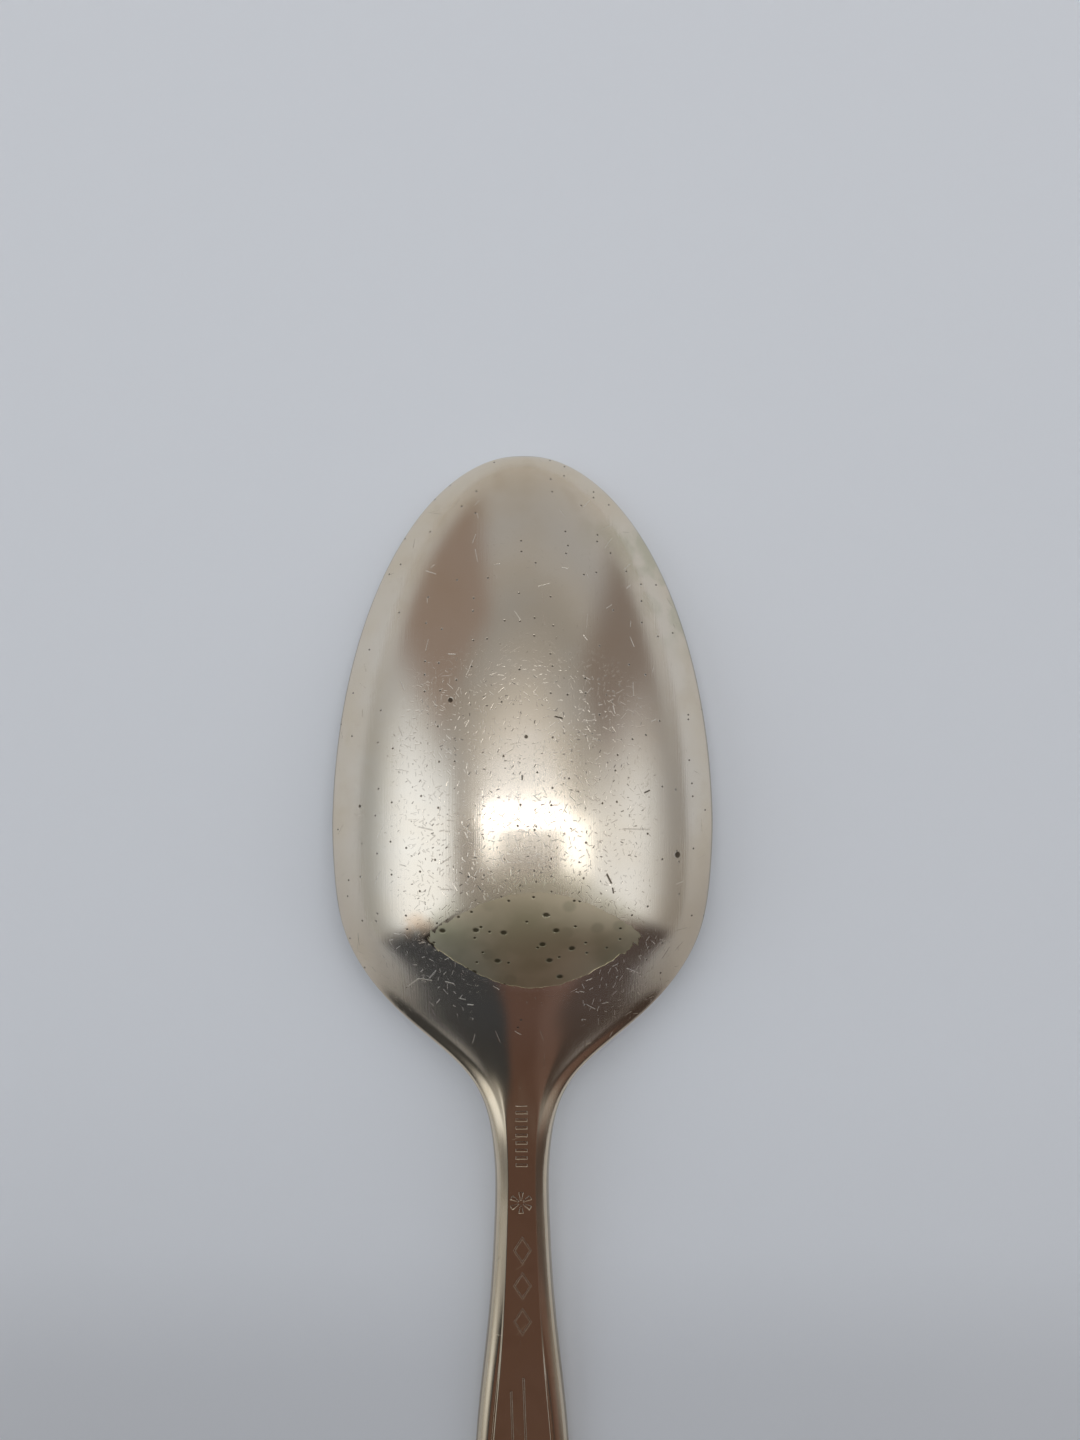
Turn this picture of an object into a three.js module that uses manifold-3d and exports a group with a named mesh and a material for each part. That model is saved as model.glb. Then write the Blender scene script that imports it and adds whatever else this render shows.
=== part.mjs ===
import * as THREE from "three";
import { mergeVertices } from "three/addons/utils/BufferGeometryUtils.js";
import Module from "manifold-3d";

// A die-struck spoon of plated nickel silver, lying face down: the back of the bowl is up (+Z),
// the tip of the bowl points to +Y and the spoon rests on that tip and on the arch of its stem.
// Every length is in millimetres. "s" is the distance from the bowl's tip along the spoon.

// Overall sizes
const overallLength = 190;
const bowlWidth = 31.6;
const bowlDepth = 7.6;
const neckWidth = 4.32;
const handleWidth = 14.4;

// Bowl
const widestAt = 31;
const hollowEnd = 50.5;
const wall = 1.2;
const rimWidth = 1.0;
const rimHeight = 0.55;
const domePower = 0.8;
const ridgeRound = 0.3;

// Stem and handle
const neckAt = 60;
const neckThickness = 2.9;
const archAt = 97;
const archThickness = 2.1;
const endThickness = 1.6;
const endHeight = 20;
const endRounding = 11;
const flatHalfLength = 4;
const grooveDepth = 0.28;

// Plate
const plateThickness = 0.03;
const wornWidth = 16.4;
const wornLength = 7.4;
const wornAt = 40.2;
const wornOffset = 1.05;

const halfBowl = bowlWidth / 2;
const handleStart = overallLength - endRounding;

// A smooth curve through [s, value] pairs that never overshoots between them.
function curveThrough(knots) {
  const gaps = knots.slice(1).map((knot, i) => knot[0] - knots[i][0]);
  const rises = knots.slice(1).map((knot, i) => (knot[1] - knots[i][1]) / gaps[i]);
  const slopes = knots.map((knot, i) => {
    const before = rises[i - 1] ?? rises[i];
    const after = rises[i] ?? rises[i - 1];
    return before * after <= 0 ? 0 : (2 * before * after) / (before + after);
  });
  return (s) => {
    if (s <= knots[0][0]) return knots[0][1];
    if (s >= knots.at(-1)[0]) return knots.at(-1)[1];
    const i = knots.findIndex((knot) => knot[0] > s) - 1;
    const t = (s - knots[i][0]) / gaps[i];
    const fromStart = (1 + 2 * t) * (1 - t) ** 2 * knots[i][1] + t * (1 - t) ** 2 * gaps[i] * slopes[i];
    const fromEnd = t * t * (3 - 2 * t) * knots[i + 1][1] + t * t * (t - 1) * gaps[i] * slopes[i + 1];
    return fromStart + fromEnd;
  };
}

const smooth = (from, to, s) => THREE.MathUtils.smoothstep(s, from, to);
const mix = THREE.MathUtils.lerp;

// Half width of the blank: half an ellipse to the widest point, the heel drawing in to the neck,
// the stem with its shoulder, and the handle with a rounded end.
const bodyHalfWidth = curveThrough([
  [widestAt, halfBowl],
  [36, halfBowl * 0.98],
  [40, halfBowl * 0.935],
  [43, halfBowl * 0.842],
  [45.2, halfBowl * 0.735],
  [47.2, halfBowl * 0.605],
  [49.1, halfBowl * 0.446],
  [50.8, halfBowl * 0.31],
  [52.6, halfBowl * 0.219],
  [55.4, (neckWidth / 2) * 1.18],
  [neckAt, neckWidth / 2],
  [65.7, (neckWidth / 2) * 1.09],
  [69.1, (neckWidth / 2) * 1.18],
  [72.7, (neckWidth / 2) * 1.33],
  [76.3, (neckWidth / 2) * 1.52],
  [79.2, (neckWidth / 2) * 1.67],
  [82.4, (neckWidth / 2) * 1.79],
  [90, (neckWidth / 2) * 1.94],
  [archAt + 8, (neckWidth / 2) * 2.04],
  [130, handleWidth * 0.345],
  [156, handleWidth * 0.43],
  [handleStart, handleWidth / 2],
]);

function halfWidth(s) {
  if (s < widestAt) return halfBowl * Math.sqrt(Math.max(0, 1 - ((widestAt - s) / widestAt) ** 2));
  const past = Math.max(0, s - handleStart) / endRounding;
  return bodyHalfWidth(s) * Math.sqrt(Math.max(0, 1 - past ** 2));
}

// Height of the rim and of the stem's underside above the table.
const bowlRest = curveThrough([[0, 0], [24, 2.1], [44, 3.75], [50, 4.05]]);

function restHeight(s) {
  const fromArch = Math.max(0, Math.abs(s - archAt) - flatHalfLength);
  const reach = overallLength - archAt - flatHalfLength;
  const arch = endHeight * (fromArch / reach) ** 2;
  return mix(bowlRest(s), arch, smooth(46, 62, s));
}

// Thickness of the stem and handle, and the height of the bowl's back above its rim.
const stemThickness = curveThrough([
  [neckAt, neckThickness],
  [76, 2.4],
  [archAt - flatHalfLength, archThickness],
  [archAt + flatHalfLength, archThickness],
  [overallLength, endThickness],
]);

const outerDepth = bowlDepth + wall - rimHeight;
const heelDepth = curveThrough([
  [widestAt, outerDepth],
  [36, outerDepth * 0.965],
  [40, outerDepth * 0.86],
  [44, outerDepth * 0.68],
  [48, outerDepth * 0.49],
  [52, outerDepth * 0.365],
  [57, neckThickness - rimHeight],
]);

function backDepth(s) {
  if (s >= widestAt) return heelDepth(s);
  return outerDepth * Math.max(0, 1 - ((widestAt - s) / widestAt) ** 2) ** domePower;
}

function hollowDepth(s) {
  if (s <= rimWidth || s >= hollowEnd) return 0;
  if (s >= widestAt) {
    return bowlDepth * (1 - ((s - widestAt) / (hollowEnd - widestAt)) ** 2.2) ** 0.9;
  }
  return bowlDepth * (1 - ((widestAt - s) / (widestAt - rimWidth)) ** 2) ** domePower;
}

function hollowHalfWidth(s) {
  const w = halfWidth(s);
  const front = w - Math.min(rimWidth, 0.4 * w);
  if (s <= widestAt) return front;
  const t = Math.min(1, (s - widestAt) / (hollowEnd - widestAt));
  return Math.max(0.55 * w, (halfBowl - rimWidth) * (1 - t ** 2.6) ** 0.8);
}

// How much of the stem's section there is, from none in the bowl to all of it past the neck.
const stemShare = (s) => smooth(45, 57, s);
const panelShare = curveThrough([[56, 0.46], [neckAt, 0.49], [68, 0.52], [75, 0.55], [84, 0.63], [92, 0.66]]);
// The thread along the edge starts at the shoulder and runs out on the rounded end.
const threadShare = (s) => smooth(70, 80, s) * (1 - smooth(handleStart, overallLength - 2, s));

const backSteps = 8;
const hollowSteps = 5;

// Half of the stem's back, from the middle of the raised panel out to its side: [x, z].
function stemBack(s) {
  const w = halfWidth(s);
  const t = stemThickness(s);
  const panel = panelShare(s);
  const groove = grooveDepth * threadShare(s);
  const bevel = (x) => mix(t, 0.8 * t, (x - panel) / (0.88 - panel));
  const thread = (x, cut) => [x * w, mix(bevel(x), t - cut, threadShare(s))];
  return [
    [0, t],
    [(panel / 3) * w, t],
    [((2 * panel) / 3) * w, t],
    [panel * w, t],
    thread(panel + 0.045, groove),
    thread(panel + 0.095, 0.06),
    [0.88 * w, 0.8 * t],
    [0.97 * w, 0.62 * t],
    [w, 0.4 * t],
  ];
}

// The section's height, 1 on the crown to 0 at the rim: a full dome that turns into a low ridge at the heel.
function flank(s, u) {
  const dome = Math.max(0, 1 - u * u) ** domePower;
  const peak = Math.hypot(1, ridgeRound);
  const ridge = (peak - Math.hypot(u, ridgeRound)) / (peak - ridgeRound);
  return mix(dome, ridge, smooth(38.5, 46.5, s));
}

// Half of the bowl's back, from the crown out to the rim: [x, z].
function bowlBack(s) {
  const w = halfWidth(s);
  return Array.from({ length: backSteps + 1 }, (_, i) => {
    const u = Math.sin((Math.PI / 2) * (i / backSteps));
    return [u * w, rimHeight + backDepth(s) * flank(s, u)];
  });
}

// Half of the underside, from the rim's outer side in to the middle: [x, z].
function stemFront(s) {
  const w = halfWidth(s);
  const t = stemThickness(s);
  const face = Array.from({ length: hollowSteps + 1 }, (_, i) => [0.78 * w * (1 - i / hollowSteps), 0]);
  return [[0.97 * w, 0.12 * t], [0.88 * w, 0], ...face];
}

function bowlFront(s) {
  const w = halfWidth(s);
  const inner = hollowHalfWidth(s);
  const hollow = Array.from({ length: hollowSteps + 1 }, (_, i) => {
    const u = Math.cos((Math.PI / 2) * (i / hollowSteps)) * 0.97;
    return [u * inner, hollowDepth(s) * (1 - u * u) ** domePower];
  });
  return [[mix(w, inner, 0.4), 0], [inner, 0], ...hollow];
}

function blend(bowl, stem, share) {
  return bowl.map(([x, z], i) => [mix(x, stem[i][0], share), mix(z, stem[i][1], share)]);
}

// The whole section at s, as a closed ring that runs over the back and returns under the front.
function section(s) {
  const share = stemShare(s);
  const back = blend(bowlBack(s), stemBack(s), share);
  const front = blend(bowlFront(s), stemFront(s), share);
  const half = [...back, ...front];
  const mirrored = half.slice(1, -1).reverse().map(([x, z]) => [-x, z]);
  // The very ends are rounded off in thickness as well as in width.
  const nose = Math.min(1, Math.min(s, overallLength - s) / 0.6);
  const round = Math.sqrt(1 - (1 - nose) ** 2);
  const middle = 0.4 * rimHeight;
  return [...half, ...mirrored].map(([x, z]) => {
    return new THREE.Vector3(x, overallLength / 2 - s, restHeight(s) + mix(middle, z, round));
  });
}

function stations() {
  const noseSteps = 16;
  const list = [];
  for (let i = 1; i <= noseSteps; i++) {
    list.push(widestAt * (1 - Math.cos((Math.PI / 2) * (i / noseSteps))));
  }
  const steps = [[53, 15], [62, 5], [archAt - 9, 7], [archAt - flatHalfLength, 1]];
  steps.push([archAt + flatHalfLength, 1], [archAt + 9, 1], [handleStart, 10]);
  for (const [to, count] of steps) {
    const from = list.at(-1);
    for (let i = 1; i <= count; i++) list.push(mix(from, to, i / count));
  }
  const endSteps = 8;
  for (let i = 1; i < endSteps; i++) {
    list.push(handleStart + endRounding * Math.sin((Math.PI / 2) * (i / endSteps)));
  }
  return list;
}

// Skin over the rings, with a pole at each end of the spoon.
function spoonSurface() {
  const rings = stations().map(section);
  const size = rings[0].length;
  const points = rings.flat();
  const tip = points.push(new THREE.Vector3(0, overallLength / 2, restHeight(0) + 0.4 * rimHeight)) - 1;
  const end = new THREE.Vector3(0, -overallLength / 2, restHeight(overallLength) + 0.4 * rimHeight);
  const last = points.push(end) - 1;
  const faces = [];
  for (let j = 0; j < size; j++) {
    const next = (j + 1) % size;
    faces.push(tip, j, next);
    for (let i = 0; i + 1 < rings.length; i++) {
      const a = i * size + j;
      const b = i * size + next;
      faces.push(a, a + size, b, b, a + size, b + size);
    }
    const base = (rings.length - 1) * size;
    faces.push(last, base + next, base + j);
  }
  const geometry = new THREE.BufferGeometry().setFromPoints(points);
  geometry.setIndex(faces);
  return geometry;
}

// The same surface moved inwards by a distance: what lies under the plate.
function inside(geometry, distance) {
  const moved = geometry.clone();
  moved.computeVertexNormals();
  const position = moved.attributes.position;
  const normal = moved.attributes.normal;
  const point = new THREE.Vector3();
  const direction = new THREE.Vector3();
  for (let i = 0; i < position.count; i++) {
    point.fromBufferAttribute(position, i);
    direction.fromBufferAttribute(normal, i);
    point.addScaledVector(direction, -distance);
    position.setXYZ(i, point.x, point.y, point.z);
  }
  return moved;
}

const solids = await Module();
solids.setup();
const { Manifold, Mesh } = solids;

function toSolid(geometry) {
  return new Manifold(new Mesh({
    numProp: 3,
    vertProperties: new Float32Array(geometry.attributes.position.array),
    triVerts: new Uint32Array(geometry.index.array),
  }));
}

function toGeometry(solid) {
  const mesh = solid.getMesh();
  const geometry = new THREE.BufferGeometry();
  geometry.setAttribute("position", new THREE.BufferAttribute(mesh.vertProperties, mesh.numProp));
  geometry.setIndex(new THREE.BufferAttribute(mesh.triVerts, 1));
  return geometry;
}

// Where the plate is worn through: a lens across the heel of the bowl's back. The cutter's underside
// follows the back's own surface, so it goes through the skin and stops in the blank.
function wornCutter(finished) {
  const steps = 28;
  const outline = [];
  for (let i = 0; i < steps; i++) {
    const angle = (2 * Math.PI * i) / steps;
    const across = Math.cos(angle);
    const along = Math.sin(angle) * (1 - 0.55 * across ** 2);
    const x = wornOffset + (wornWidth / 2) * across;
    outline.push(new THREE.Vector2(x, overallLength / 2 - wornAt + (wornLength / 2) * along));
  }
  const depth = outerDepth + endHeight;
  const prism = new THREE.ExtrudeGeometry(new THREE.Shape(outline), { depth, bevelEnabled: false });
  prism.deleteAttribute("normal");
  prism.deleteAttribute("uv");
  const lens = toSolid(mergeVertices(prism));
  const parts = lens.subtract(finished.translate([0, 0, -wall / 2])).decompose();
  const top = (part) => part.boundingBox().max[2];
  return parts.reduce((highest, part) => (top(part) > top(highest) ? part : highest));
}

const surface = spoonSurface();
const finishedSpoon = toSolid(surface);
const blank = toSolid(inside(surface, plateThickness));
const plate = finishedSpoon.subtract(blank).subtract(wornCutter(finishedSpoon));

function piece(name, solid, color, roughness, metalness) {
  const material = new THREE.MeshStandardMaterial({ color, roughness, metalness });
  const mesh = new THREE.Mesh(toGeometry(solid), material);
  mesh.name = name;
  return mesh;
}

const spoon = new THREE.Group();
spoon.name = "bar_spoon";
spoon.add(piece("nickel_silver_blank", blank, 0x9a917c, 0.42, 0.9));
spoon.add(piece("silver_plate", plate, 0xcbc4b6, 0.22, 1));

export default spoon;
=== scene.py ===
import math

import bpy
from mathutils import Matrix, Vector


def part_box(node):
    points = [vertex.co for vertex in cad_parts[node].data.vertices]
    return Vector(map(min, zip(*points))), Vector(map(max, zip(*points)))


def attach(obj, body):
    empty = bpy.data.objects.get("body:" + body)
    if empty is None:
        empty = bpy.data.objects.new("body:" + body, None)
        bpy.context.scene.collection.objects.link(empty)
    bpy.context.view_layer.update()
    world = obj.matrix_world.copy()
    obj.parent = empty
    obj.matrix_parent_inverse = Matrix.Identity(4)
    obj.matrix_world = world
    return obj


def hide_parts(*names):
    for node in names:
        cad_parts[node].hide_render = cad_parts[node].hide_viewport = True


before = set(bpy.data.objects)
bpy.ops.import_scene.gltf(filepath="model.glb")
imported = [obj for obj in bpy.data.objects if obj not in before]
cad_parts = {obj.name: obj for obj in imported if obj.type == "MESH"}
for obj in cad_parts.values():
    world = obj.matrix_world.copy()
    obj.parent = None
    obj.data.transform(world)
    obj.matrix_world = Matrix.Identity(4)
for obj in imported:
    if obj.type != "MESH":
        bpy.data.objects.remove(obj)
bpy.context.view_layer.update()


# ---------------------------------------------------------------------------
# The blank: a spoon struck from one strip of nickel silver. The strip is rolled
# thin at the bowl end, cut to outline, then struck between dies that dish the
# bowl, raise the panel along the back of the stem and arch the whole spoon.
# ---------------------------------------------------------------------------
# Sizes are in metres. A place along the spoon, s, is the distance from the bowl's tip.
blank_low, blank_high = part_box("nickel_silver_blank")
PLATE = 0.00003
SPOON_LENGTH = blank_high.y - blank_low.y + 2 * PLATE
TIP_Y = blank_high.y + PLATE
HALF_BOWL = (blank_high.x - blank_low.x) / 2 + PLATE

BOWL_DEPTH = 0.0076
WIDEST = 0.031
HOLLOW_END = 0.0505
WALL = 0.0012
RIM_WIDTH = 0.001
RIM_HEIGHT = 0.00055
RIM_TOUCH = 0.00005
DOME_POWER = 0.8
RIDGE_ROUND = 0.3
RIDGE_FROM, RIDGE_FULL = 0.0385, 0.0465
HOLLOW_LEAST = 0.55
OUTER_DEPTH = BOWL_DEPTH + WALL - RIM_HEIGHT
EDGE_MIDDLE = 0.4 * RIM_HEIGHT
NOSE = 0.0006

NECK_AT = 0.060
HALF_NECK = 0.00216
NECK_THICK = 0.0029
ARCH_AT = 0.097
ARCH_THICK = 0.0021
ARCH_FLAT = 0.004
END_THICK = 0.0016
END_HEIGHT = 0.020
END_ROUND = 0.011
HALF_HANDLE = 0.0072
HANDLE_START = SPOON_LENGTH - END_ROUND
GROOVE = 0.00028
SHOULDER_AT = 0.88
SHOULDER_HEIGHT = 0.8
ARCH_FROM, ARCH_FULL = 0.046, 0.062
STEM_FROM, STEM_FULL = 0.045, 0.057
GROOVE_FROM, GROOVE_FULL = 0.070, 0.080


def drawn_curve(knots):
    """A smooth curve through (place, value) pairs that never bulges past them."""
    places = [k[0] for k in knots]
    gaps = [b[0] - a[0] for a, b in zip(knots, knots[1:])]
    rises = [(b[1] - a[1]) / g for a, b, g in zip(knots, knots[1:], gaps)]
    slopes = []
    for i in range(len(knots)):
        before = rises[max(i - 1, 0)]
        after = rises[min(i, len(rises) - 1)]
        slopes.append(0 if before * after <= 0 else 2 * before * after / (before + after))

    def value(s):
        if s <= places[0]:
            return knots[0][1]
        if s >= places[-1]:
            return knots[-1][1]
        i = next(n for n, place in enumerate(places) if place > s) - 1
        t = (s - places[i]) / gaps[i]
        start = (1 + 2 * t) * (1 - t) ** 2 * knots[i][1] + t * (1 - t) ** 2 * gaps[i] * slopes[i]
        end = t * t * (3 - 2 * t) * knots[i + 1][1] + t * t * (t - 1) * gaps[i] * slopes[i + 1]
        return start + end

    def eased(s):
        """The same curve with its corners rounded over a little reach."""
        reach = 0.0012
        return (value(s - reach) + 2 * value(s) + value(s + reach)) / 4

    return eased


def smooth(start, stop, s):
    """Eases from 0 at start to 1 at stop."""
    t = min(max((s - start) / (stop - start), 0), 1)
    return t * t * (3 - 2 * t)


def between(a, b, share):
    """The value a share of the way from a to b."""
    return a + (b - a) * share


body_outline = drawn_curve([
    (0.0, HALF_BOWL),
    (WIDEST, HALF_BOWL),
    (0.036, HALF_BOWL * 0.98),
    (0.040, HALF_BOWL * 0.935),
    (0.043, HALF_BOWL * 0.842),
    (0.0452, HALF_BOWL * 0.735),
    (0.0472, HALF_BOWL * 0.605),
    (0.0491, HALF_BOWL * 0.446),
    (0.0508, HALF_BOWL * 0.31),
    (0.0526, HALF_BOWL * 0.219),
    (0.0554, HALF_NECK * 1.18),
    (NECK_AT, HALF_NECK),
    (0.0657, HALF_NECK * 1.09),
    (0.0691, HALF_NECK * 1.18),
    (0.0727, HALF_NECK * 1.33),
    (0.0763, HALF_NECK * 1.52),
    (0.0792, HALF_NECK * 1.67),
    (0.0824, HALF_NECK * 1.79),
    (0.090, HALF_NECK * 1.94),
    (ARCH_AT + 0.008, HALF_NECK * 2.04),
    (0.130, HALF_HANDLE * 0.69),
    (0.156, HALF_HANDLE * 0.86),
    (HANDLE_START, HALF_HANDLE),
])


def half_width(s):
    """Half the spoon's width at a distance from the bowl's tip."""
    if s < WIDEST:
        return HALF_BOWL * math.sqrt(max(0, 1 - ((WIDEST - s) / WIDEST) ** 2))
    past = max(0, s - HANDLE_START) / END_ROUND
    return body_outline(s) * math.sqrt(max(0, 1 - past**2))


bowl_rest = drawn_curve([(0, 0), (0.024, 0.0021), (0.044, 0.00375), (0.050, 0.00405)])


def rest_height(s):
    """How high the rim, or the stem's underside, is off the table."""
    from_arch = max(0, abs(s - ARCH_AT) - ARCH_FLAT)
    arch = END_HEIGHT * (from_arch / (SPOON_LENGTH - ARCH_AT - ARCH_FLAT)) ** 2
    return between(bowl_rest(s), arch, smooth(ARCH_FROM, ARCH_FULL, s))


stem_thickness = drawn_curve([
    (NECK_AT, NECK_THICK),
    (0.076, 0.0024),
    (ARCH_AT - ARCH_FLAT, ARCH_THICK),
    (ARCH_AT + ARCH_FLAT, ARCH_THICK),
    (SPOON_LENGTH, END_THICK),
])
heel_depth = drawn_curve([
    (WIDEST, OUTER_DEPTH),
    (0.036, OUTER_DEPTH * 0.965),
    (0.040, OUTER_DEPTH * 0.86),
    (0.044, OUTER_DEPTH * 0.68),
    (0.048, OUTER_DEPTH * 0.49),
    (0.052, OUTER_DEPTH * 0.365),
    (0.057, NECK_THICK - RIM_HEIGHT),
])
panel_share = drawn_curve([
    (0.056, 0.46),
    (NECK_AT, 0.49),
    (0.068, 0.52),
    (0.075, 0.55),
    (0.084, 0.63),
    (0.092, 0.66),
])


def flank(s, u):
    """The section's height, 1 on the crown to 0 at the rim: a dome, and a ridge at the heel."""
    dome = max(0, 1 - u * u) ** DOME_POWER
    peak = math.hypot(1, RIDGE_ROUND)
    ridge = (peak - math.hypot(u, RIDGE_ROUND)) / (peak - RIDGE_ROUND)
    return between(dome, ridge, smooth(RIDGE_FROM, RIDGE_FULL, s))


def back_depth(s):
    """How high the bowl's back stands over its rim, along the middle."""
    if s >= WIDEST:
        return heel_depth(s)
    return OUTER_DEPTH * max(0, 1 - ((WIDEST - s) / WIDEST) ** 2) ** DOME_POWER


def hollow_depth(s):
    """How deep the bowl's hollow is, along the middle."""
    if s <= RIM_WIDTH or s >= HOLLOW_END:
        return 0
    if s >= WIDEST:
        return BOWL_DEPTH * (1 - ((s - WIDEST) / (HOLLOW_END - WIDEST)) ** 2.2) ** 0.9
    return BOWL_DEPTH * (1 - ((WIDEST - s) / (WIDEST - RIM_WIDTH)) ** 2) ** DOME_POWER


def hollow_half_width(s):
    """Half the hollow's width at its rim."""
    w = half_width(s)
    if s <= WIDEST:
        return w - min(RIM_WIDTH, 0.4 * w)
    t = min(1, (s - WIDEST) / (HOLLOW_END - WIDEST))
    return max(HOLLOW_LEAST * w, (HALF_BOWL - RIM_WIDTH) * (1 - t**2.6) ** 0.8)


BACK_STEPS = 10
HOLLOW_STEPS = 6


def bowl_half(s):
    """Half of the bowl's section: over the back, round the rim and into the hollow."""
    w = half_width(s)
    inner = hollow_half_width(s)
    points = []
    for i in range(BACK_STEPS + 1):
        u = math.sin(math.pi / 2 * i / BACK_STEPS)
        points.append((u * w, RIM_HEIGHT + back_depth(s) * flank(s, u)))
    points += [(between(w, inner, 0.25), RIM_TOUCH), (between(w, inner, 0.6), 0)]
    points.append((inner, 1.2 * RIM_TOUCH))
    for i in range(HOLLOW_STEPS + 1):
        u = math.cos(math.pi / 2 * i / HOLLOW_STEPS) * 0.97
        points.append((u * inner, hollow_depth(s) * (1 - u * u) ** DOME_POWER))
    return points


def stem_half(s):
    """Half of the stem's section: the panel, its groove and bead, the side, the flat front."""
    w = half_width(s)
    t = stem_thickness(s)
    panel = panel_share(s)
    run_out = smooth(HANDLE_START, SPOON_LENGTH - 0.002, s)
    thread = smooth(GROOVE_FROM, GROOVE_FULL, s) * (1 - run_out)

    def bevel(x):
        return between(t, SHOULDER_HEIGHT * t, (x - panel) / (SHOULDER_AT - panel))

    points = [(0, t), (panel / 3 * w, t), (2 * panel / 3 * w, t)]
    points += [((panel - 0.03) * w, t), (panel * w, t)]
    points.append(((panel + 0.03) * w, between(bevel(panel + 0.03), t - 0.8 * GROOVE, thread)))
    points.append(((panel + 0.06) * w, between(bevel(panel + 0.06), t - GROOVE, thread)))
    points.append(((panel + 0.10) * w, between(bevel(panel + 0.10), t - 0.00006, thread)))
    points += [(SHOULDER_AT * w, SHOULDER_HEIGHT * t), (0.97 * w, 0.62 * t), (w, 0.4 * t)]
    points += [(0.98 * w, 0.16 * t), (0.94 * w, 0.04 * t), (0.86 * w, 0)]
    points += [(0.78 * w * (1 - i / HOLLOW_STEPS), 0) for i in range(HOLLOW_STEPS + 1)]
    return points


def ring(s):
    """The closed section of the finished spoon at s."""
    share = smooth(STEM_FROM, STEM_FULL, s)
    half = [
        (between(bx, sx, share), between(bz, sz, share))
        for (bx, bz), (sx, sz) in zip(bowl_half(s), stem_half(s))
    ]
    loop = half + [(-x, z) for x, z in reversed(half[1:-1])]
    nose = min(1, min(s, SPOON_LENGTH - s) / NOSE)
    round_off = math.sqrt(1 - (1 - nose) ** 2)
    low = rest_height(s)
    return [Vector((x, TIP_Y - s, low + between(EDGE_MIDDLE, z, round_off))) for x, z in loop]


def stations():
    """Where the rings stand: close at the bowl's tip, the heel and the handle's end."""
    places = [WIDEST * (1 - math.cos(math.pi / 2 * i / 17)) for i in range(1, 18)]
    stops = [(0.053, 16), (0.062, 6), (0.088, 11), (ARCH_AT + ARCH_FLAT, 3), (HANDLE_START, 9)]
    for stop, count in stops:
        start = places[-1]
        places += [between(start, stop, i / count) for i in range(1, count + 1)]
    places += [HANDLE_START + END_ROUND * math.sin(math.pi / 2 * i / 8) for i in range(1, 8)]
    return places


def pick(mesh, wanted):
    """Selects, out of edit mode, the points that pass a test and what lies between them."""
    for vertex in mesh.vertices:
        vertex.select = wanted(vertex.co)
    for edge in mesh.edges:
        edge.select = all(mesh.vertices[v].select for v in edge.vertices)
    for face in mesh.polygons:
        face.select = all(mesh.vertices[v].select for v in face.vertices)


def struck_spoon(name, levels):
    """A tube is drawn out ring by ring, struck to the section at each ring, closed and smoothed."""
    tube_radius, tube_step = 0.002, 0.001
    places = stations()
    rings = [ring(s) for s in places]
    count = len(rings[0])
    bpy.ops.object.select_all(action="DESELECT")
    bpy.ops.mesh.primitive_circle_add(
        vertices=count, radius=tube_radius, rotation=(math.pi / 2, 0, 0)
    )
    spoon = bpy.context.active_object
    spoon.name = spoon.data.name = name
    bpy.ops.object.transform_apply(location=True, rotation=True, scale=True)
    bpy.ops.object.mode_set(mode="EDIT")
    for _ in places[1:]:
        bpy.ops.mesh.extrude_region_move(TRANSFORM_OT_translate={"value": (0, -tube_step, 0)})
    bpy.ops.object.mode_set(mode="OBJECT")
    mesh = spoon.data
    first = min(math.atan2(v.co.x, v.co.z) % math.tau for v in mesh.vertices)
    for vertex in mesh.vertices:
        station = round(-vertex.co.y / tube_step)
        turn = math.atan2(vertex.co.x, vertex.co.z) % math.tau
        column = round((turn - first) / math.tau * count) % count
        vertex.co = rings[station][column]
    for end, s in ((rings[0], 0), (rings[-1], SPOON_LENGTH)):
        pick(mesh, lambda co: abs(co.y - end[0].y) < 1e-7)
        bpy.ops.object.mode_set(mode="EDIT")
        bpy.ops.mesh.edge_face_add()
        bpy.ops.mesh.poke()
        bpy.ops.object.mode_set(mode="OBJECT")
        mesh.vertices[-1].co = (0, TIP_Y - s, rest_height(s) + EDGE_MIDDLE)
    bpy.ops.object.mode_set(mode="EDIT")
    bpy.ops.mesh.select_all(action="SELECT")
    bpy.ops.mesh.normals_make_consistent(inside=False)
    bpy.ops.object.mode_set(mode="OBJECT")
    smoothing = spoon.modifiers.new("smoothing", "SUBSURF")
    smoothing.levels = smoothing.render_levels = levels
    bpy.ops.object.modifier_apply(modifier="smoothing")
    bpy.ops.object.shade_smooth()
    return spoon


blank = struck_spoon("struck_blank", 1)
bpy.ops.object.mode_set(mode="EDIT")
bpy.ops.mesh.select_all(action="SELECT")
bpy.ops.transform.shrink_fatten(value=-PLATE)
bpy.ops.object.mode_set(mode="OBJECT")
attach(blank, "root")
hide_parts("nickel_silver_blank")


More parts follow.
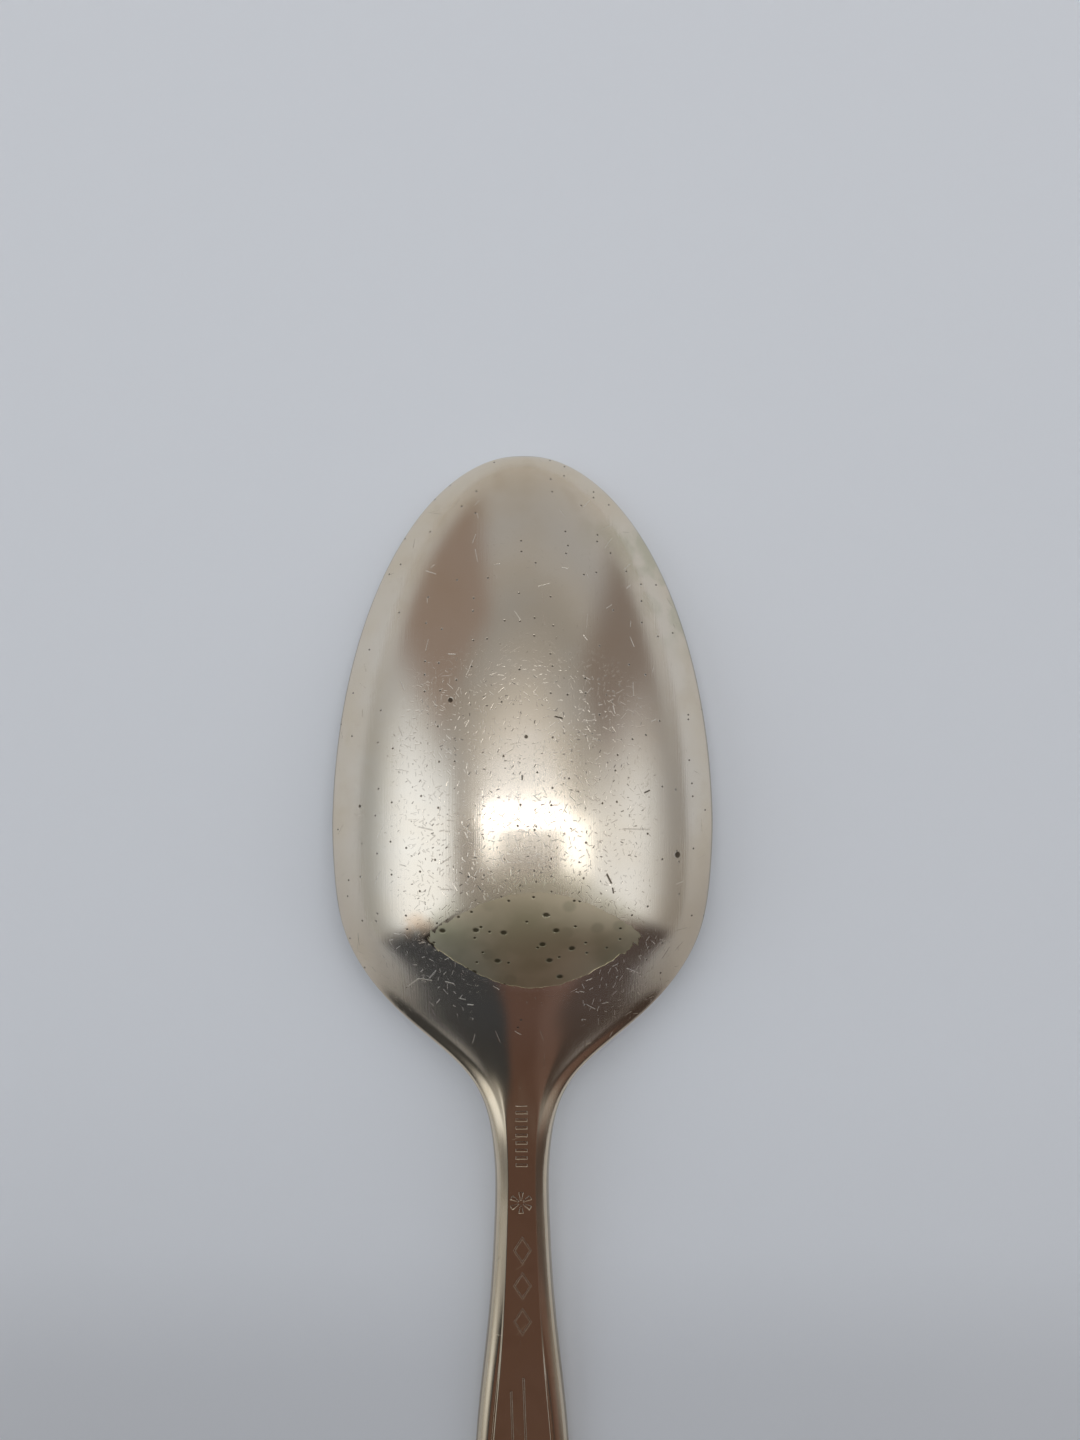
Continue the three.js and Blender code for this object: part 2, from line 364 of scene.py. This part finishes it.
class Trace:
    """A shader value that varies over the metal. Arithmetic on traces adds the Math nodes."""

    def __init__(self, tree, socket=None):
        self.tree = tree
        self.socket = socket

    def node(self, kind, settings=None, sockets=None, out=0):
        made = self.tree.nodes.new(kind)
        for key, value in (settings or {}).items():
            if key == "stops":
                ramp = made.color_ramp.elements
                while len(ramp) < len(value):
                    ramp.new(1)
                for element, (place, colour) in zip(ramp, value):
                    element.position = place
                    element.color = colour
            else:
                setattr(made, key, value)
        for key, value in (sockets or {}).items():
            if isinstance(value, Trace):
                self.tree.links.new(value.socket, made.inputs[key])
            else:
                made.inputs[key].default_value = value
        return Trace(self.tree, made.outputs[out])

    def math(self, operation, *values):
        return self.node("ShaderNodeMath", {"operation": operation}, dict(enumerate(values)))

    def vector(self, operation, *values, out=0):
        sockets = dict(enumerate(values))
        return self.node("ShaderNodeVectorMath", {"operation": operation}, sockets, out)

    def __add__(self, other):
        return self.math("ADD", self, other)

    __radd__ = __add__

    def __sub__(self, other):
        return self.math("SUBTRACT", self, other)

    def __rsub__(self, other):
        return self.math("SUBTRACT", other, self)

    def __mul__(self, other):
        return self.math("MULTIPLY", self, other)

    __rmul__ = __mul__

    def __truediv__(self, other):
        return self.math("DIVIDE", self, other)

    def __pow__(self, power):
        return self.math("POWER", self, power)

    def larger(self, other):
        return self.math("MAXIMUM", self, other)

    def smaller(self, other):
        return self.math("MINIMUM", self, other)

    def size(self):
        return self.math("ABSOLUTE", self)

    def ramp(self, start, stop, low=0, high=1):
        """Eases from low to high as the trace goes from start to stop."""
        settings = {"interpolation_type": "SMOOTHSTEP"}
        sockets = {"Value": self, "From Min": start, "From Max": stop}
        sockets.update({"To Min": low, "To Max": high})
        return self.node("ShaderNodeMapRange", settings, sockets)

    def tinted(self, low, high):
        """The colour low where the trace is 0 and high where it is 1."""
        return self.node("ShaderNodeMix", {"data_type": "RGBA"}, {0: self, 6: low, 7: high}, 2)


MM = 1000


def spoon_places(tree):
    """Places on the spoon in millimetres: across from the middle, and along from the bowl's tip."""
    start = Trace(tree)
    place = start.node("ShaderNodeTexCoord", out="Object")
    split = [start.node("ShaderNodeSeparateXYZ", sockets={0: place}, out=i) for i in range(3)]
    across = split[0] * MM
    along = TIP_Y * MM - split[1] * MM
    flat = start.node("ShaderNodeCombineXYZ", sockets={0: across, 1: along})
    return start, across, along, flat


def grain(flat, turn, scale, detail=2.0, rough=0.5):
    """Cloudy noise drawn out one way: scale is how many clouds per millimetre each way."""
    sockets = {0: flat, 2: (0, 0, turn), 3: (scale[0], scale[1], 1)}
    laid = flat.node("ShaderNodeMapping", sockets=sockets)
    sockets = {"Vector": laid, "Scale": 1, "Detail": detail, "Roughness": rough}
    return flat.node("ShaderNodeTexNoise", {"noise_dimensions": "2D"}, sockets)


def flecks(flat, turn, scale, radius, share, shift=0.0):
    """Scattered marks: one ellipse, 1 inside it, in a share of the cells of a stretched net."""
    sockets = {0: flat, 1: (shift, shift * 0.7, 0), 2: (0, 0, turn), 3: (scale[0], scale[1], 1)}
    laid = flat.node("ShaderNodeMapping", sockets=sockets)
    settings = {"voronoi_dimensions": "2D"}
    distance = flat.node("ShaderNodeTexVoronoi", settings, {"Vector": laid, "Scale": 1})
    chance = flat.node("ShaderNodeTexVoronoi", settings, {"Vector": laid, "Scale": 1}, 1)
    drawn = flat.node("ShaderNodeSeparateColor", sockets={0: chance})
    return distance.ramp(radius, radius * 0.45) * drawn.math("GREATER_THAN", drawn, 1 - share)


# The opening worn in the plate: its middle (across, along) and half its size each way.
WORN_MIDDLE = (0.00105, 0.0402)
WORN_HALF = (0.0082, 0.0037)


def from_worn_middle(across, along):
    """0 in the middle of the worn opening, 1 on its edge, and more outside it."""
    side = (across - WORN_MIDDLE[0] * MM) / (WORN_HALF[0] * MM)
    return (along - WORN_MIDDLE[1] * MM).size() / (WORN_HALF[1] * MM) + side * side


OLIVE, PALE_OLIVE = (0.56, 0.545, 0.385, 1), (0.70, 0.665, 0.50, 1)
WARM_EDGE = (0.68, 0.60, 0.46, 1)
DULL_SPOT = (0.34, 0.34, 0.23, 1)
PIT_DIRT = (0.05, 0.04, 0.02, 1)
BUMP_HEIGHT = 0.000005
worn_nickel = bpy.data.materials.new("worn_nickel_silver")
worn_nickel.use_nodes = True
start, across, along, flat = spoon_places(worn_nickel.node_tree)
clouds = grain(flat, 0.3, (0.22, 0.3), 3)
fine = grain(flat, 0.0, (5, 1.2), 3)
large_pits = flecks(flat, 0.4, (0.5, 0.75), 0.17, 0.34)
pits = large_pits.larger(flecks(flat, 1.1, (0.9, 1.2), 0.14, 0.26, 5.0))
spots = flecks(flat, 0.0, (0.5, 0.6), 0.34, 0.4, 3.0) * clouds.ramp(0.3, 0.6)
thin = from_worn_middle(across, along).ramp(0.3, 1.1) * along.ramp(40.0, 38.0)
tone = clouds.ramp(0.3, 0.7).tinted(OLIVE, PALE_OLIVE)
tone = (thin * 0.7).tinted(tone, WARM_EDGE)
tone = (spots * 0.4).tinted(tone, DULL_SPOT)
tone = (pits * 0.9).tinted(tone, PIT_DIRT)
height = fine * 0.3 - pits * 3
sockets = {"Strength": 1.0, "Distance": BUMP_HEIGHT, "Height": height}
bump = start.node("ShaderNodeBump", sockets=sockets)
shader = worn_nickel.node_tree.nodes["Principled BSDF"]
shader.inputs["Metallic"].default_value = 1.0
satin = 0.36 + pits * 0.2 + clouds * 0.06
for name, value in (("Base Color", tone), ("Roughness", satin), ("Normal", bump)):
    worn_nickel.node_tree.links.new(value.socket, shader.inputs[name])
blank.data.materials.append(worn_nickel)

# ---------------------------------------------------------------------------
# The plate: silver grown on the blank in the plating bath, 0.03 mm thick and one
# skin all round. Polishing and wear have taken it off the heel of the bowl, so it
# has one ragged lens-shaped opening there. It has gone warm with tarnish.
# ---------------------------------------------------------------------------
plate = struck_spoon("plate_skin", 2)


def worn_outline(turn):
    """A point on the edge of the worn opening, ragged at its two ends."""
    side, way = math.cos(turn), math.sin(turn)
    ends = smooth(0.72, 0.98, abs(side))
    ragged = 0.00005 + 0.00016 * ends
    waves = ((0.6, 23, 1.0), (0.4, 41, 0), (0.35, 67, 2))
    wobble = ragged * sum(size * math.sin(count * turn + lag) for size, count, lag in waves)
    x = WORN_MIDDLE[0] + WORN_HALF[0] * side
    s = WORN_MIDDLE[1] - WORN_HALF[1] * way * (1 - 0.55 * side**2) + wobble
    return x + 0.6 * wobble, s


bpy.ops.object.select_all(action="DESELECT")
bpy.ops.mesh.primitive_circle_add(vertices=240, radius=1, fill_type="NGON")
cutter = bpy.context.active_object
CUTTER_LOW, CUTTER_HIGH = 0.0045, 0.0165
for vertex in cutter.data.vertices:
    x, s = worn_outline(math.atan2(vertex.co.y, vertex.co.x))
    vertex.co = (x, TIP_Y - s, CUTTER_LOW)
bpy.ops.object.mode_set(mode="EDIT")
bpy.ops.mesh.select_all(action="SELECT")
bpy.ops.mesh.extrude_region_move(
    TRANSFORM_OT_translate={"value": (0, 0, CUTTER_HIGH - CUTTER_LOW)}
)
bpy.ops.mesh.select_all(action="SELECT")
bpy.ops.mesh.normals_make_consistent(inside=False)
bpy.ops.object.mode_set(mode="OBJECT")
cut_mark = bpy.data.materials.new("cut")
silver = bpy.data.materials.new("tarnished_silver")
silver.use_nodes = True
cutter.data.materials.append(cut_mark)
plate.data.materials.append(silver)
bpy.ops.object.select_all(action="DESELECT")
plate.select_set(True)
bpy.context.view_layer.objects.active = plate
opening = plate.modifiers.new("opening", "BOOLEAN")
opening.object = cutter
opening.operation = "DIFFERENCE"
opening.solver = "EXACT"
opening.material_mode = "TRANSFER"
bpy.ops.object.modifier_apply(modifier="opening")
for vertex in plate.data.vertices:
    vertex.select = False
for edge in plate.data.edges:
    edge.select = False
for face in plate.data.polygons:
    face.select = plate.data.materials[face.material_index].name == "cut"
bpy.ops.object.mode_set(mode="EDIT")
bpy.ops.mesh.select_mode(type="FACE")
bpy.ops.mesh.delete(type="FACE")
bpy.ops.mesh.select_mode(type="VERT")
bpy.ops.object.mode_set(mode="OBJECT")
plate.data.materials.pop(index=1)
bpy.data.objects.remove(cutter)
skin = plate.modifiers.new("skin", "SOLIDIFY")
skin.thickness = PLATE
skin.offset = -1
bpy.ops.object.modifier_apply(modifier="skin")
bpy.ops.object.shade_smooth_by_angle(angle=math.radians(40))
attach(plate, "root")
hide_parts("silver_plate")

start, across, along, flat = spoon_places(silver.node_tree)


def nicks(flat, density, length, width, share, shift):
    """Short straight scratches lying every way: one in a share of the cells of a net."""
    sockets = {0: flat, 1: (shift, -shift, 0), 3: (density, density, 1)}
    laid = flat.node("ShaderNodeMapping", sockets=sockets)
    net = {"voronoi_dimensions": "2D"}
    heart = flat.node("ShaderNodeTexVoronoi", net, {"Vector": laid, "Scale": 1}, 2)
    chance = flat.node("ShaderNodeTexVoronoi", net, {"Vector": laid, "Scale": 1}, 1)
    drawn, lean, long = (
        flat.node("ShaderNodeSeparateColor", sockets={0: chance}, out=i) for i in range(3)
    )
    away = laid.vector("SUBTRACT", laid, heart)
    x, y = (flat.node("ShaderNodeSeparateXYZ", sockets={0: away}, out=i) for i in range(2))
    cosine, sine = lean.math("COSINE", lean * math.pi), lean.math("SINE", lean * math.pi)
    reach = length * density * (long * 0.8 + 0.4)
    line = (x * cosine + y * sine).size()
    beside = (y * cosine - x * sine).size().ramp(width * density, width * density * 0.3)
    along_it = line.math("LESS_THAN", line, reach)
    return along_it * beside * drawn.math("GREATER_THAN", drawn, 1 - share)


def inside(value, low, high, edge):
    """1 between low and high, easing to 0 over the edge outside them."""
    return value.ramp(low - edge, low) * value.ramp(high + edge, high)


def scratch(x, s, length, lean, width=0.05):
    """One straight scratch: its middle across and along in millimetres, length and angle."""
    right, down = across - x, along - s
    line = (right * math.cos(lean) + down * math.sin(lean)).size()
    beside = (down * math.cos(lean) - right * math.sin(lean)).size()
    return line.ramp(length * 0.5, length * 0.35) * beside.ramp(width, width * 0.4)


def spot(x, s, radius, soft=0.6):
    """One round mark: its middle across and along in millimetres, and its radius."""
    right, down = across - x, along - s
    return (right * right + down * down).ramp(radius**2, (radius * (1 - soft)) ** 2)


# Where on the bowl a point is: 0 on the crown and 1 at the rim.
HEEL_REACH = 21
toward_tip = ((along - WIDEST * MM).smaller(0) / (WIDEST * MM)) ** 2
toward_heel = ((along - WIDEST * MM).larger(0) / HEEL_REACH) ** 2
out_from_crown = (across / (HALF_BOWL * MM)) ** 2 + toward_tip + toward_heel
rim = out_from_crown.ramp(0.5, 1.0)
on_bowl = along.ramp(52, 46)
polish = grain(flat, 0.0, (9, 0.22), 3, 0.6)
clouds = grain(flat, 0.2, (0.12, 0.16), 4)
blotch = grain(flat, 1.0, (0.5, 0.35), 4)
crown = out_from_crown.ramp(0.62, 0.1) * along.ramp(14, 24) * (clouds * 0.8 + 0.5).smaller(1)

# Scuffs catch the light: small nicks crowd on the crown, and longer ones lie all over the bowl.
fine_nicks = nicks(flat, 2.6, 0.14, 0.035, 0.55, 3.0)
mid_nicks = nicks(flat, 1.5, 0.26, 0.04, 0.5, 11.0)
long_nicks = nicks(flat, 0.55, 0.5, 0.035, 0.24, 19.0)
heel_nicks = nicks(flat, 1.6, 0.24, 0.026, 0.5, 27.0)
heel_nicks = heel_nicks * inside(along, 41, 46, 2) * across.size().ramp(3, 5)
crown_nicks = fine_nicks.larger(mid_nicks) * (crown * 0.95 + 0.05)
scuffs = crown_nicks.larger(long_nicks * on_bowl * 0.7).larger(heel_nicks)

# Dirt sits dark in nicks, in pits and in the deepest scratches.
dirt_nicks = nicks(flat, 1.8, 0.12, 0.04, 0.2, 41.0) * (crown * 0.9 + 0.1) * on_bowl
pits = flecks(flat, 0.0, (0.8, 0.8), 0.08, 0.22, 31.0) * on_bowl
dark = dirt_nicks.larger(pits)
for x, s, length, lean, width in (
    (6.7, 35.6, 1.0, 1.1, 0.09),
    (7.0, 36.5, 0.5, 1.4, 0.07),
    (3.9, 37.1, 0.8, 0.0, 0.06),
    (2.9, 23.3, 0.75, 0.25, 0.09),
    (0.1, 27.9, 0.45, 1.6, 0.07),
    (9.8, 29.0, 0.6, -0.4, 0.07),
    (5.2, 37.9, 0.7, 0.6, 0.07),
    (-3.1, 36.2, 0.5, 0.9, 0.06),
):
    dark = dark.larger(scratch(x, s, length, lean, width))
for x, s, radius in (
    (12.3, 34.0, 0.3),
    (-5.5, 21.9, 0.24),
    (0.4, 24.8, 0.16),
    (-12.9, 30.2, 0.15),
    (6.2, 38.6, 0.22),
):
    dark = dark.larger(spot(x, s, radius, 0.4))

# Clean scratches show bright.
bright = long_nicks * 0.4
for x, s, length, lean in (
    (5.2, 24.7, 2.4, 0.42),
    (4.4, 28.0, 1.1, 0.9),
    (-0.7, 22.0, 0.8, -0.05),
    (-7.3, 31.8, 1.4, 0.2),
    (8.9, 31.9, 2.6, 0.05),
    (-8.6, 44.1, 1.6, -0.7),
    (-6.9, 43.2, 1.1, -0.9),
    (8.8, 43.1, 1.4, 0.5),
    (11.4, 41.8, 1.2, -1.0),
    (1.6, 19.3, 1.0, 0.1),
):
    bright = bright.larger(scratch(x, s, length, lean, 0.045))

# The stem's panel is struck with a row of bars, a rosette and three lozenges, and two
# lines are drawn below them.
BAR_PITCH = 0.62
beat = along * (math.tau / BAR_PITCH)
bars = beat.math("SINE", beat).ramp(0.2, 0.7)
stamp = bars * inside(along, 53.6, 58.8, 0.05) * inside(across, -0.42, 0.42, 0.05)
right, down = across + 0.05, along - 61.6
petal = right.math("ARCTAN2", right, down) * 6
petal = petal.math("COSINE", petal).ramp(0.1, 0.6)
reach = right.math("SQRT", right * right + down * down)
stamp = stamp.larger(petal * inside(reach, 0.25, 0.85, 0.06))
for s in (65.6, 68.6, 71.6):
    lozenge = (across - 0.05).size() / 0.72 + (along - s).size() / 1.15
    stamp = stamp.larger(inside(lozenge, 0.82, 0.98, 0.04))
for x, s in ((-0.9, 77.5), (0.1, 76.4)):
    drawn_line = across - (x + 0.02) - (along - s) * 0.035
    stamp = stamp.larger(drawn_line.size().ramp(0.09, 0.04) * inside(along, s, 92, 0.2))

# Stains round the worn opening and along the rim, and painted shade on the edges that face
# sideways.
from_worn = from_worn_middle(across, along)
above_worn = along.ramp(40.6, 38.6) * from_worn.ramp(1.75, 1.0)
above_worn = above_worn * (blotch * 1.3 + 0.2).smaller(1)
# lip follows the worn opening's edge: a painted highlight on its heel side, and a dark line at its
# left end on the tip's side.
lip = inside(from_worn, 0.9, 1.06, 0.06)
ragged_lip = lip * across.ramp(-3.5, -6) * along.ramp(41.5, 40.5)
rim_stain = rim * inside(along, 8, 16, 2.5) * across.ramp(4, 6) * blotch.ramp(0.35, 0.6)
brown_stain = spot(-7.9, 39.6, 1.7, 0.9) * blotch.ramp(0.35, 0.6)
turned = start.node("ShaderNodeNewGeometry", out=1)
edge_on = start.node("ShaderNodeSeparateXYZ", sockets={0: turned}, out=2)
edge_on = inside(edge_on, -0.15, 0.44, 0.1)

SILVER, WARM_SILVER = (0.89, 0.83, 0.735, 1), (0.80, 0.685, 0.52, 1)
BROWN_BLOTCH = (0.62, 0.50, 0.34, 1)
HEEL_BROWN = (0.60, 0.50, 0.38, 1)
WORN_OLIVE = (0.60, 0.56, 0.42, 1)
GREEN_STAIN = (0.52, 0.52, 0.36, 1)
COPPER_STAIN = (0.66, 0.42, 0.24, 1)
PAINTED_LIP_HIGHLIGHT = (0.96, 0.92, 0.84, 1)
EDGE_DARKENING = (0.16, 0.12, 0.09, 1)
SCRATCH_DIRT = (0.07, 0.05, 0.03, 1)
warm = (rim * 0.6 + clouds.ramp(0.35, 0.7) * 0.3 + along.ramp(44, 52) * 0.25).smaller(1)
tone = warm.tinted(SILVER, WARM_SILVER)
tone = (blotch.ramp(0.5, 0.75) * 0.22 * rim).tinted(tone, BROWN_BLOTCH)
heel_rim = rim * along.ramp(30, 40) * on_bowl * across.ramp(-6, 8, 0.5, 0.95)
tone = heel_rim.tinted(tone, HEEL_BROWN)
tone = (above_worn * 0.75).tinted(tone, WORN_OLIVE)
tone = (rim_stain * 0.5).tinted(tone, GREEN_STAIN)
tone = (brown_stain * 0.5).tinted(tone, COPPER_STAIN)
# A painted highlight along the heel side of the worn opening's edge, where the plate's step would
# catch the light.
tone = (lip * along.ramp(40.5, 41.5) * 0.6).tinted(tone, PAINTED_LIP_HIGHLIGHT)
# Painted shade darkens the edges that face sideways, and a dark line runs along the worn opening's
# left end.
tone = (edge_on * 0.65).larger(ragged_lip * 0.8).tinted(tone, EDGE_DARKENING)
tone = (dark * 0.88).larger(stamp * 0.1).tinted(tone, SCRATCH_DIRT)
height = polish * 0.5 - scuffs * 1.6 - bright * 2.5 - dark * 3 - stamp * 14
sockets = {"Strength": 1.0, "Distance": BUMP_HEIGHT, "Height": height}
bump = start.node("ShaderNodeBump", sockets=sockets)
shader = silver.node_tree.nodes["Principled BSDF"]
shader.inputs["Metallic"].default_value = 1.0
gloss = 0.105 + polish * 0.05 + crown * 0.035 + clouds * 0.05
gloss = gloss + scuffs * 0.1 + above_worn * 0.1
for name, value in (("Base Color", tone), ("Roughness", gloss), ("Normal", bump)):
    silver.node_tree.links.new(value.socket, shader.inputs[name])

# ---------------------------------------------------------------------------
# The table: a wide sheet of pale matt paper that the spoon lies on, face down. It is
# the backdrop and not part of the spoon.
# ---------------------------------------------------------------------------
bpy.ops.object.select_all(action="DESELECT")
bpy.ops.mesh.primitive_plane_add(size=16)
table = bpy.context.active_object
table.name = "paper_table"
paper = bpy.data.materials.new("paper")
paper.use_nodes = True
shader = paper.node_tree.nodes["Principled BSDF"]
shader.inputs["Base Color"].default_value = (0.81, 0.86, 0.935, 1)
shader.inputs["Roughness"].default_value = 0.9
table.data.materials.append(paper)

# ---------------------------------------------------------------------------
# The light: a soft room, with a bright panel overhead, a tall soft box at each side
# and the handle's side kept dark. A board shades the table and a fill light lifts it,
# and the silver mirrors neither.
# ---------------------------------------------------------------------------
DEGREE = math.pi / 180
room = bpy.data.worlds.new("studio")
bpy.context.scene.world = room
room.use_nodes = True
start = Trace(room.node_tree)
way = start.node("ShaderNodeTexCoord")
x, y, z = (start.node("ShaderNodeSeparateXYZ", sockets={0: way}, out=i) for i in range(3))
x_turn = x.math("ARCTAN2", x, z) / DEGREE
y_turn = y.math("ARCTAN2", y, z) / DEGREE
from_top = z.math("ARCCOSINE", z) / DEGREE
round_top = x.math("ARCTAN2", x, y) / DEGREE

# How bright the room is from straight overhead, 0, down to the table's level, 1.
walls = [
    (0, 0.55),
    (0.1, 0.7),
    (0.2, 0.8),
    (0.3, 0.56),
    (0.38, 0.37),
    (0.5, 0.29),
    (0.62, 0.37),
    (0.72, 0.36),
    (0.85, 0.4),
    (0.95, 0.46),
    (1, 0.48),
]
stops = []
for place, level in walls:
    warmer = 0.25 < place < 0.7
    green, blue = (0.955, 0.90) if warmer else (0.985, 0.98)
    stops.append((place, (level, level * green, level * blue, 1)))
tone = start.node("ShaderNodeValToRGB", {"stops": stops}, {0: from_top / 90})

# Two brown patches stand low on the tip's side.
left_patch = inside(round_top, -54, -28, 14) * inside(from_top, 50, 76, 8)
right_patch = inside(round_top, 48, 72, 14) * inside(from_top, 48, 76, 8)
tone = left_patch.tinted(tone, (0.26, 0.205, 0.175, 1))
tone = right_patch.tinted(tone, (0.205, 0.17, 0.15, 1))

# A soft box at each side fades toward the table.
slope = y / x.size().larger(0.001)
left_box = slope.ramp(-0.82, -0.62) * slope.ramp(0.6, 0.1) * x_turn.ramp(-34, -38.5)
right_box = slope.ramp(-0.64, -0.44) * slope.ramp(0.6, 0.08) * x_turn.ramp(28, 37)
left_fade = x_turn.ramp(-58, -84)
right_fade = x_turn.ramp(56, 82)
left_glow = left_fade.tinted((1.02, 1.06, 1.1, 1), (0.36, 0.37, 0.37, 1))
right_glow = right_fade.tinted((0.82, 0.83, 0.84, 1), (0.3, 0.29, 0.28, 1))
tone = left_box.tinted(tone, left_glow)
tone = right_box.tinted(tone, right_glow)

# The handle's side is dark: brown in the middle, near black on the left, red-brown on the right.
behind = (y + x.larger(0) * 0.3 - x.smaller(0) * 0.45).ramp(-0.14, -0.34)
dark_side = from_top.ramp(18, 40).tinted((0.25, 0.22, 0.2, 1), (0.105, 0.062, 0.05, 1))
high = from_top.ramp(74, 67)
right_wall = high.tinted((0.068, 0.052, 0.048, 1), (0.135, 0.086, 0.074, 1))
dark_side = x_turn.ramp(-20, -38).tinted(dark_side, (0.042, 0.044, 0.048, 1))
dark_side = x_turn.ramp(24, 44).tinted(dark_side, right_wall)
tone = behind.tinted(tone, dark_side)

# Overhead: a dim ceiling, and the bright panel with a leg of light at each end.
ceiling = inside(x_turn, -30, 24, 5) * y_turn.ramp(7, 4) * y_turn.ramp(-26, -18)
right_leg = inside(x_turn, 22, 33, 3) * inside(y_turn, -4, 6, 3)
left_leg = inside(x_turn, -20, -13, 2) * inside(y_turn, 0, 6, 2)
panel = inside(x_turn, -19, 22, 2) * inside(y_turn, 5.2, 8.1, 1)
for part, colour in (
    (ceiling, (0.27, 0.245, 0.22, 1)),
    (right_leg, (1.9, 1.9, 1.85, 1)),
    (left_leg, (1.8, 1.8, 1.76, 1)),
    (panel, (5, 5, 5, 1)),
):
    tone = part.tinted(tone, colour)

# Seen directly, the room is one plain pale tone.
seen = start.node("ShaderNodeLightPath")
tone = seen.tinted(tone, (0.56, 0.58, 0.6, 1))
background = room.node_tree.nodes["Background"]
room.node_tree.links.new(tone.socket, background.inputs["Color"])
background.inputs["Strength"].default_value = 1.0

bpy.ops.object.select_all(action="DESELECT")
bpy.ops.mesh.primitive_plane_add(size=1, location=(0, -0.095, 0.15))
shade = bpy.context.active_object
shade.name = "shade_board"
shade.scale = (0.19, 0.27, 1)
shade.visible_camera = False
shade.visible_glossy = False
matt_black = bpy.data.materials.new("matt_black")
matt_black.use_nodes = True
shader = matt_black.node_tree.nodes["Principled BSDF"]
shader.inputs["Base Color"].default_value = (0.05, 0.04, 0.035, 1)
shader.inputs["Roughness"].default_value = 0.9
shade.data.materials.append(matt_black)

bpy.ops.object.light_add(type="AREA", location=(0, 0.30, 0.55), rotation=(-0.45, 0, 0))
fill = bpy.context.active_object
fill.name = "fill_light"
fill.data.size = 0.6
fill.data.energy = 0.85
fill.visible_glossy = False

# ---------------------------------------------------------------------------
# The camera: a wide lens close over the bowl, looking almost straight down, with the
# tip up the picture and the stem running out of its lower edge.
# ---------------------------------------------------------------------------
tilt = math.radians(3)
distance = 0.09312
target = Vector((0.00145, TIP_Y - 0.02298, 0))
back_off = Vector((0, -distance * math.sin(tilt), distance * math.cos(tilt)))
bpy.ops.object.camera_add(location=target + back_off)
camera = bpy.context.active_object
camera.rotation_euler = (tilt, 0, 0)
camera.data.lens = 27.04
camera.data.sensor_width = 36
camera.data.clip_start = 0.005
bpy.context.scene.camera = camera
bpy.context.scene.view_settings.view_transform = "Standard"
